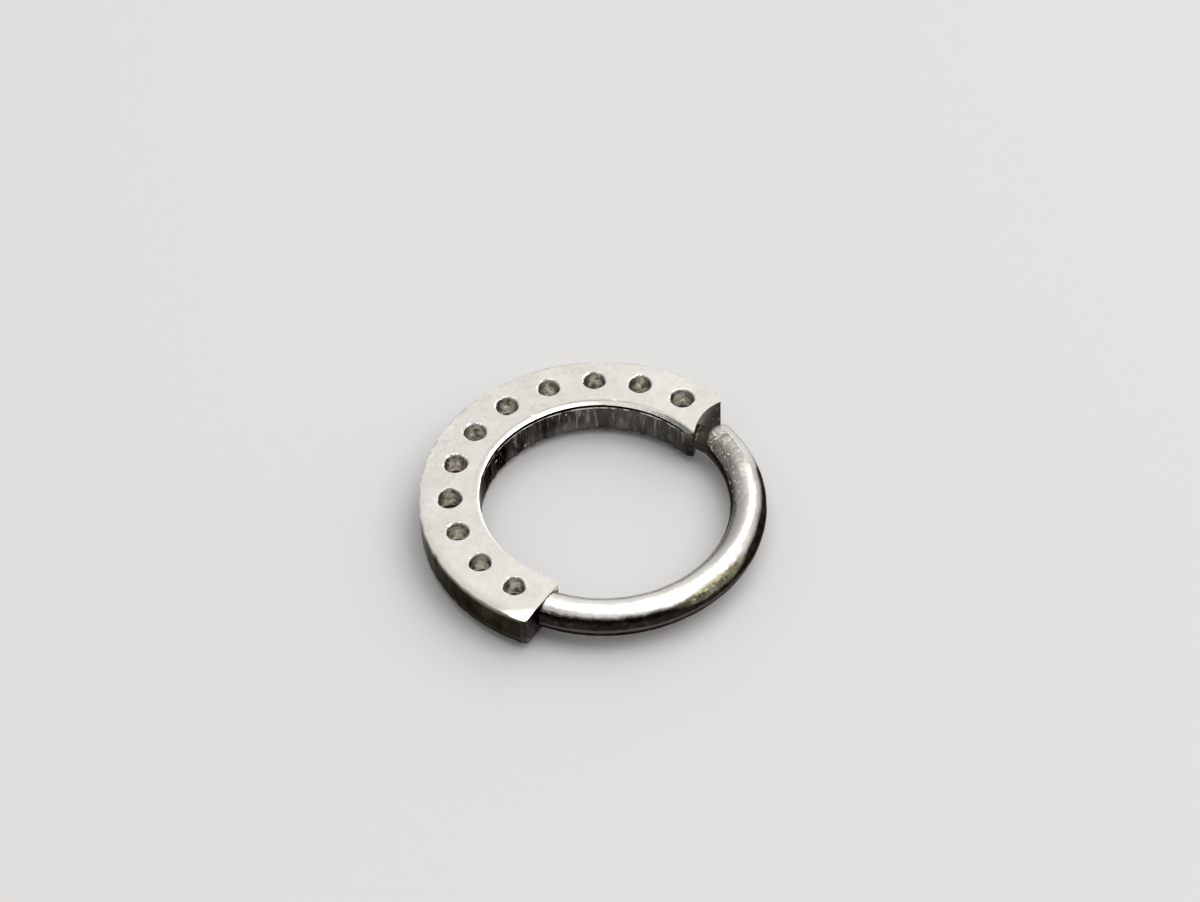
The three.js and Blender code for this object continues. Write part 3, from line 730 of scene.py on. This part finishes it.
    # painted highlight on the outer flank at the hinge end
    colour = g.mix(g.math("MULTIPLY", g.math("MULTIPLY", hinge_zone, g.span(z, 1.05, 1.25)), g.span(reach, WIRE_ARC_R + 0.14, WIRE_ARC_R + 0.36)), colour, (1.0, 0.99, 0.97))
    shoulder = g.math("MULTIPLY", g.span(z, 1.16, 1.22), g.span(reach, WIRE_ARC_R - 0.16, WIRE_ARC_R - 0.27))
    shoulder = g.math("MULTIPLY", shoulder, g.span(x, 0.8, 1.6))
    # painted glints along the inner shoulder
    pits = g.noise(7200, 2, 0.5)
    glint = g.math("MULTIPLY", g.span(pits, 0.60, 0.625), g.math("MULTIPLY", shoulder, g.span(y, -5.0, -3.5)))
    colour = g.mix(glint, colour, (1.0, 0.99, 0.96))
    dot = g.math("MULTIPLY", g.span(pits, 0.50, 0.53), g.math("SUBTRACT", 1.0, g.span(pits, 0.545, 0.565)))
    dot = g.math("MULTIPLY", dot, g.math("MULTIPLY", shoulder, g.span(y, -4.2, -3.2)))
    colour = g.mix(g.math("MULTIPLY", dot, 0.6), colour, (0.15, 0.14, 0.11))
    g.link(colour, bsdf.inputs["Base Color"])
    polish = g.span(g.noise(2200, 3, 0.6), 0.3, 0.7, 0.25, 0.33)
    g.link(g.math("ADD", polish, g.math("MULTIPLY", near, 0.12)), bsdf.inputs["Roughness"])
    n = g.bump(g.noise(1900, 2, 0.5), 0.25, 0.00003)
    n = g.bump(g.noise(6500, 3, 0.6), 0.20, 0.000008, n)
    n = g.bump(g.math("MULTIPLY", near, speck), 0.8, 0.00003, n)
    n = g.bump(g.math("MULTIPLY", patch, lumps), 0.6, 0.00003, n)
    n = g.bump(glint, 0.35, 0.00002, n)
    g.link(n, bsdf.inputs["Normal"])
    return mat


def crown_finish():
    """Clear, high-index stone."""
    mat, tree, bsdf = new_material("clear stone", Metallic=0.0, IOR=2.15, Transmission_Weight=1.0)
    g = Graph(tree)
    haze = g.noise(1500, 2, 0.5)
    g.link(g.ramp(haze, [(0.3, (0.93, 0.92, 0.90)), (0.7, (0.985, 0.98, 0.97))]), bsdf.inputs["Base Color"])
    g.link(g.span(g.noise(12000, 2, 0.5), 0.3, 0.7, 0.0, 0.04), bsdf.inputs["Roughness"])
    return mat


def pavilion_finish():
    """Back facets: they throw most light back, and carry traces of polishing paste."""
    mat, tree, bsdf = new_material("stone back facets", Metallic=0.85)
    g = Graph(tree)
    paste = g.noise(5200, 4, 0.7)
    g.link(g.ramp(paste, [(0.32, (0.46, 0.44, 0.40)), (0.44, (0.76, 0.745, 0.70)), (0.54, (0.92, 0.91, 0.88)), (0.66, (0.99, 0.985, 0.97))]), bsdf.inputs["Base Color"])
    g.link(g.span(paste, 0.3, 0.7, 0.34, 0.12), bsdf.inputs["Roughness"])
    g.link(g.bump(paste, 0.6, 0.00002), bsdf.inputs["Normal"])
    return mat


def floor_finish():
    mat, tree, bsdf = new_material("pale floor", Metallic=0.0)
    bsdf.inputs["Base Color"].default_value = (0.66, 0.66, 0.655, 1.0)
    bsdf.inputs["Roughness"].default_value = 0.65
    bsdf.inputs["Specular IOR Level"].default_value = 0.2
    return mat


SATIN = satin_back()
BRIGHT = bright_cut("burnished edge")
WALL_OUT = outer_wall()
WALL_IN = inner_wall()
WALL_END = end_wall()
HOLE = hole_wall()
FACE = bright_cut("stone side silver", (0.84, 0.83, 0.80), 0.17)
WIRE = wire_finish()
# painted shade: the silver prongs are coloured dark grey
PRONG = bright_cut("prong silver painted shade", (0.30, 0.29, 0.265), 0.22)
# painted shade: the silver hinge tongue is coloured dark for the gap it sits in
TONGUE = dark_wall("tongue painted shade", (0.014, 0.012, 0.010), (0.055, 0.048, 0.042), 0.8, 0.24, 0.35)
CROWN = crown_finish()
PAVILION = pavilion_finish()

# ----------------------------------------------------------------- the camera
cam_data = bpy.data.cameras.new("camera")
cam = bpy.data.objects.new("camera", cam_data)
bpy.context.scene.collection.objects.link(cam)
right = Vector((0.5570, -0.8300, -0.0289)).normalized()
look = Vector((0.5442, 0.3910, -0.7423)).normalized()
up = right.cross(look).normalized()
right = look.cross(up).normalized()
cam.matrix_world = Matrix((
    (right.x, up.x, -look.x, -55.95 * MM),
    (right.y, up.y, -look.y, -40.53 * MM),
    (right.z, up.z, -look.z, (78.425 + BACK_Z) * MM),
    (0, 0, 0, 1)))
cam_data.sensor_width = 36.0
cam_data.lens = 92.99
cam_data.clip_start = 0.002
cam_data.clip_end = 5.0
bpy.context.scene.camera = cam

# --------------------------------------------------------------- the metal bar
STEP = 0.036
theta_lo, theta_hi = math.radians(-108.0), math.radians(152.0)


def bend(a, b, c):
    return b * np.sin(a), b * np.cos(a), c


def ring_axes(step):
    z_axis = grid(-0.05, 1.62, step)
    return grid(theta_lo, theta_hi, step / 5.05), grid(3.70, 6.20, step), z_axis


verts, faces = contour(bar_distance, ring_axes(STEP), bend, STEP)
bar = new_mesh("bar_metal", verts, faces, 40)
for m in (SATIN, BRIGHT, WALL_OUT, WALL_IN, WALL_END, HOLE, FACE, TONGUE, PRONG):
    bar.data.materials.append(m)
thin_out(bar, 0.62)
c, n = face_facts(bar)
_, su, sv = stone_local(c[:, 0], c[:, 1])
sq = np.hypot(su, sv)
r = np.hypot(c[:, 0], c[:, 1])
slot = np.full(len(c), 2, np.int32)
steep = np.abs(n[:, 2]) < 0.6
inner = ((n[:, 0] * c[:, 0] + n[:, 1] * c[:, 1]) < 0) & (r < 4.9)
ends = steep & (c[:, 1] < -0.95)
slot[steep & inner] = 3
slot[ends] = 4
slot[(~steep) & (n[:, 2] < 0)] = 6
slot[(sq < 0.50) & (c[:, 2] > 0.60)] = 5
slot[(sq < 0.70) & (c[:, 2] <= 0.80) & (n[:, 2] < 0.9)] = 6
topward = n[:, 2] >= 0.6
slot[topward] = 0
slot[topward & (c[:, 2] < 1.3)] = 4
slot[c[:, 2] < FRONT_Z - 0.02] = 8
slot[(c[:, 2] < FRONT_Z - 0.02) & (n[:, 2] < -0.35)] = 6
slot[(c[:, 1] < -1.36) & (c[:, 0] > 0) & (np.hypot(c[:, 0] - HINGE_X, c[:, 1] - HINGE_Y) < 1.16) & (c[:, 2] < 1.3)] = 7
bar.data.polygons.foreach_set("material_index", slot)

# how burnished each point of the back face is: bevel, drilled rims, outer rim, worn latch corner
co = np.empty(len(bar.data.vertices) * 3, np.float32)
bar.data.vertices.foreach_get("co", co)
co = co.reshape(-1, 3).astype(float) / MM
vx, vy = co[:, 0], co[:, 1] - AXIS_SHIFT
vr = np.hypot(vx, vy)
vdeg = np.degrees(np.arctan2(vx, vy))
rho = np.where((vx < 0) & (vy < 0), -vx, vr)
near_stone, hu, hv = stone_local(vx, vy)


def rise_between(value, lo, hi):
    return np.clip((value - lo) / (hi - lo), 0, 1)


burnish = rise_between(INNER_R - rho + bevel_width(vdeg), -0.012, 0.004)
burnish = np.maximum(burnish, rise_between(np.array(HOLE_R)[near_stone] + 0.045 - np.hypot(hu, hv), -0.010, 0.010))
burnish = np.maximum(burnish, np.where(vx < 0, 0.8 * rise_between(-(vx + 5.55) * 0.823 - (vy + 0.90) * 0.568, -0.12, 0.22), 0))
burnish = np.maximum(burnish, 0.75 * rise_between(vr, OUTER_R - 0.05, OUTER_R - 0.02))
layer = bar.data.attributes.new("burnish", "FLOAT", "POINT")
layer.data.foreach_set("value", burnish.astype(np.float32))
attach(bar, "bar")
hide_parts("stone_bar")

# -------------------------------------------------------------------- the wire
WSTEP = 0.034


def wire_bend(a, b, c):
    return WIRE_X + b * np.sin(a), WIRE_Y - b * np.cos(a), c


wire_axes = (grid(math.radians(-88), math.radians(81), WSTEP / WIRE_ARC_R), grid(WIRE_ARC_R - 0.72, WIRE_ARC_R + 0.72, WSTEP), grid(0.22, 1.62, WSTEP))
verts, faces = contour(wire_distance, wire_axes, wire_bend, WSTEP)
wire = new_mesh("wire_metal", verts, faces[:, ::-1], 45)
wire.data.materials.append(WIRE)
thin_out(wire, 0.85)
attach(wire, "segment")
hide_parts("wire_segment")


# --------------------------------------------------------------------- the pin
def lathe(name, profile, segments, x, y, smooth_deg):
    verts, faces = [], []
    rings = len(profile)
    for rr, zz in profile:
        for i in range(segments):
            a = 2 * math.pi * i / segments
            verts.append((x + rr * math.cos(a), y + rr * math.sin(a), zz))
    for k in range(rings - 1):
        for i in range(segments):
            j = (i + 1) % segments
            faces.append((k * segments + i, k * segments + j, (k + 1) * segments + j, (k + 1) * segments + i))
    obj = new_mesh(name, verts, faces, None)
    mesh = obj.data
    import bmesh
    bm = bmesh.new()
    bm.from_mesh(mesh)
    bm.verts.ensure_lookup_table()
    bm.faces.new([bm.verts[i] for i in range(segments)][::-1])
    bm.faces.new([bm.verts[(rings - 1) * segments + i] for i in range(segments)])
    bmesh.ops.recalc_face_normals(bm, faces=bm.faces)
    bm.to_mesh(mesh)
    bm.free()
    mesh.shade_smooth()
    mesh.set_sharp_from_angle(angle=math.radians(smooth_deg))
    return obj


pin_profile = [
    (0.03, PIN_LOW), (0.12, PIN_LOW + 0.004), (0.165, PIN_LOW + 0.012), (0.196, PIN_LOW + 0.03), (0.199, PIN_LOW + 0.05),
    (0.199, PIN_HIGH - 0.022), (0.198, PIN_HIGH - 0.010), (0.192, PIN_HIGH), (0.12, PIN_HIGH + 0.010), (0.03, PIN_HIGH + 0.015)]
pin = lathe("pin_metal", pin_profile, 40, HINGE_X, HINGE_Y, 50)
pin.data.materials.append(WIRE)
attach(pin, "segment")
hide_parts("hinge_pin")


# ------------------------------------------------------------------ the stones
def brilliant():
    """Verts and faces of a round brilliant, table down: table, stars, kites, upper and
    lower halves, pavilion mains and a thin thirty-two sided girdle."""
    R, table_r, star_r, low_r = STONE_R, 0.374, 0.505, 0.16
    z0 = TABLE_Z
    zg = z0 + 0.19
    zt = zg + 0.035
    tip = zt + 0.555
    crown = 0.19 / (R - table_r)
    pav = 0.555 / R
    half = math.cos(math.pi / 8)
    pts = []

    def ring(n, turn, rad, zz):
        start = len(pts)
        for i in range(n):
            a = math.radians(turn) + 2 * math.pi * i / n
            pts.append((rad * math.cos(a), rad * math.sin(a), zz(i) if callable(zz) else zz))
        return start

    t = ring(8, 0, table_r, z0)
    s = ring(8, 22.5, star_r, zg - (R - star_r * half) * crown * 0.985)
    g0 = ring(16, 0, R, lambda i: zg + (0.0 if i % 2 == 0 else 0.006))
    g1 = ring(16, 0, R, lambda i: zt - (0.0 if i % 2 == 0 else 0.006))
    lo = ring(8, 22.5, low_r, tip - low_r * half * pav)
    apex = len(pts)
    pts.append((0, 0, tip))
    f = [tuple(t + i for i in range(8))]
    for i in range(8):
        j = (i + 1) % 8
        f.append((t + i, s + i, t + j))                                   # star
        f.append((t + i, s + (i - 1) % 8, g0 + 2 * i, s + i))              # kite
        f.append((s + i, g0 + 2 * i, g0 + 2 * i + 1))                      # upper halves
        f.append((s + i, g0 + 2 * i + 1, g0 + (2 * i + 2) % 16))
        f.append((g1 + 2 * i, lo + i, g1 + 2 * i + 1))                     # lower halves
        f.append((g1 + 2 * i + 1, lo + i, g1 + (2 * i + 2) % 16))
        f.append((g1 + 2 * i, lo + (i - 1) % 8, apex, lo + i))             # pavilion mains
    for i in range(16):
        j = (i + 1) % 16
        f.append((g0 + i, g1 + i, g1 + j, g0 + j))
    return pts, f


def stone_object(name, cx, cy, turn):
    import bmesh
    pts, fs = brilliant()
    mesh = bpy.data.meshes.new(name)
    co = []
    for px, py, pz in pts:
        x = cx + px * math.cos(turn) - py * math.sin(turn)
        y = cy + px * math.sin(turn) + py * math.cos(turn)
        co.append((x * MM, (y + AXIS_SHIFT) * MM, pz * MM))
    mesh.from_pydata(co, [], fs)
    bm = bmesh.new()
    bm.from_mesh(mesh)
    bmesh.ops.recalc_face_normals(bm, faces=bm.faces)
    bm.to_mesh(mesh)
    bm.free()
    mesh.shade_flat()
    obj = bpy.data.objects.new(name, mesh)
    bpy.context.scene.collection.objects.link(obj)
    return obj


turns = np.random.default_rng(5).uniform(0, math.pi / 4, 11)
for i, s in enumerate(STONE_RAD):
    cx = STONE_CX + STONE_CR * math.sin(s)
    cy = STONE_CY + STONE_CR * math.cos(s)
    node = f"stone_{i + 1:02d}"
    st = stone_object(f"brilliant_{i + 1:02d}", cx, cy, float(turns[i]))
    st.data.materials.append(CROWN)
    st.data.materials.append(PAVILION)
    for poly in st.data.polygons:
        poly.material_index = 1 if poly.normal.z > 0.2 else 0
    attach(st, "bar")
    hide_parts(node)

# ------------------------------------------------------------- floor and light
floor_mesh = bpy.data.meshes.new("floor")
floor_mesh.from_pydata([(-1.5, -1.5, 0), (1.5, -1.5, 0), (1.5, 1.5, 0), (-1.5, 1.5, 0)], [], [(0, 1, 2, 3)])
floor = bpy.data.objects.new("floor", floor_mesh)
bpy.context.scene.collection.objects.link(floor)
floor.data.materials.append(floor_finish())


def softbox(name, direction, distance, size, watts, colour=(1, 1, 1)):
    light = bpy.data.lights.new(name, "AREA")
    light.shape = "RECTANGLE"
    light.size, light.size_y = size
    light.energy = watts
    light.color = colour
    obj = bpy.data.objects.new(name, light)
    bpy.context.scene.collection.objects.link(obj)
    d = Vector(direction).normalized()
    obj.location = d * distance
    obj.rotation_euler = (-d).to_track_quat("-Z", "Y").to_euler()
    return obj


softbox("key", (0.25, -0.55, 1.0), 0.42, (0.28, 0.28), 0.55, (1.0, 0.985, 0.965))
softbox("far", (look.x + 0.25, look.y - 0.35, -look.z), 0.45, (0.22, 0.20), 0.22, (1.0, 0.99, 0.97))
softbox("top", (0.16, 0.10, 1.0), 0.45, (0.32, 0.32), 0.62, (1.0, 0.99, 0.975))

# soft surround: full overhead and on the key's side, dimmer low down and to the far left
world = bpy.data.worlds.new("studio")
bpy.context.scene.world = world
world.use_nodes = True
wt = world.node_tree
back = wt.nodes["Background"]
toward = wt.nodes.new("ShaderNodeTexCoord").outputs["Generated"]
split = wt.nodes.new("ShaderNodeSeparateXYZ")
wt.links.new(toward, split.inputs[0])


def span_of(value, lo, hi, a, b):
    n = wt.nodes.new("ShaderNodeMapRange")
    n.interpolation_type = "SMOOTHSTEP"
    wt.links.new(value, n.inputs["Value"])
    for key, v in zip(("From Min", "From Max", "To Min", "To Max"), (lo, hi, a, b)):
        n.inputs[key].default_value = v
    return n.outputs["Result"]


def lean_of(direction):
    n = wt.nodes.new("ShaderNodeVectorMath")
    n.operation = "DOT_PRODUCT"
    wt.links.new(toward, n.inputs[0])
    n.inputs[1].default_value = direction
    return n.outputs["Value"]


# the side the ring's outer flank faces is unlit low down
rise = span_of(lean_of((0.81, 0.58, 1.0)), -0.14, 0.16, 0.16, 1.0)
lateral = span_of(lean_of((0.5570, -0.8300, 0.0)), -0.85, 0.10, 0.50, 1.0)
both = wt.nodes.new("ShaderNodeMath")
both.operation = "MULTIPLY"
wt.links.new(rise, both.inputs[0])
wt.links.new(lateral, both.inputs[1])
level_of = wt.nodes.new("ShaderNodeMath")
level_of.operation = "MULTIPLY"
wt.links.new(both.outputs[0], level_of.inputs[0])
level_of.inputs[1].default_value = 0.76
wt.links.new(level_of.outputs[0], back.inputs["Strength"])
back.inputs["Color"].default_value = (1.0, 0.99, 0.975, 1.0)

scene = bpy.context.scene
scene.view_settings.view_transform = "Standard"
scene.view_settings.look = "None"
scene.view_settings.exposure = 0.0
scene.view_settings.gamma = 1.0

bpy.context.view_layer.update()
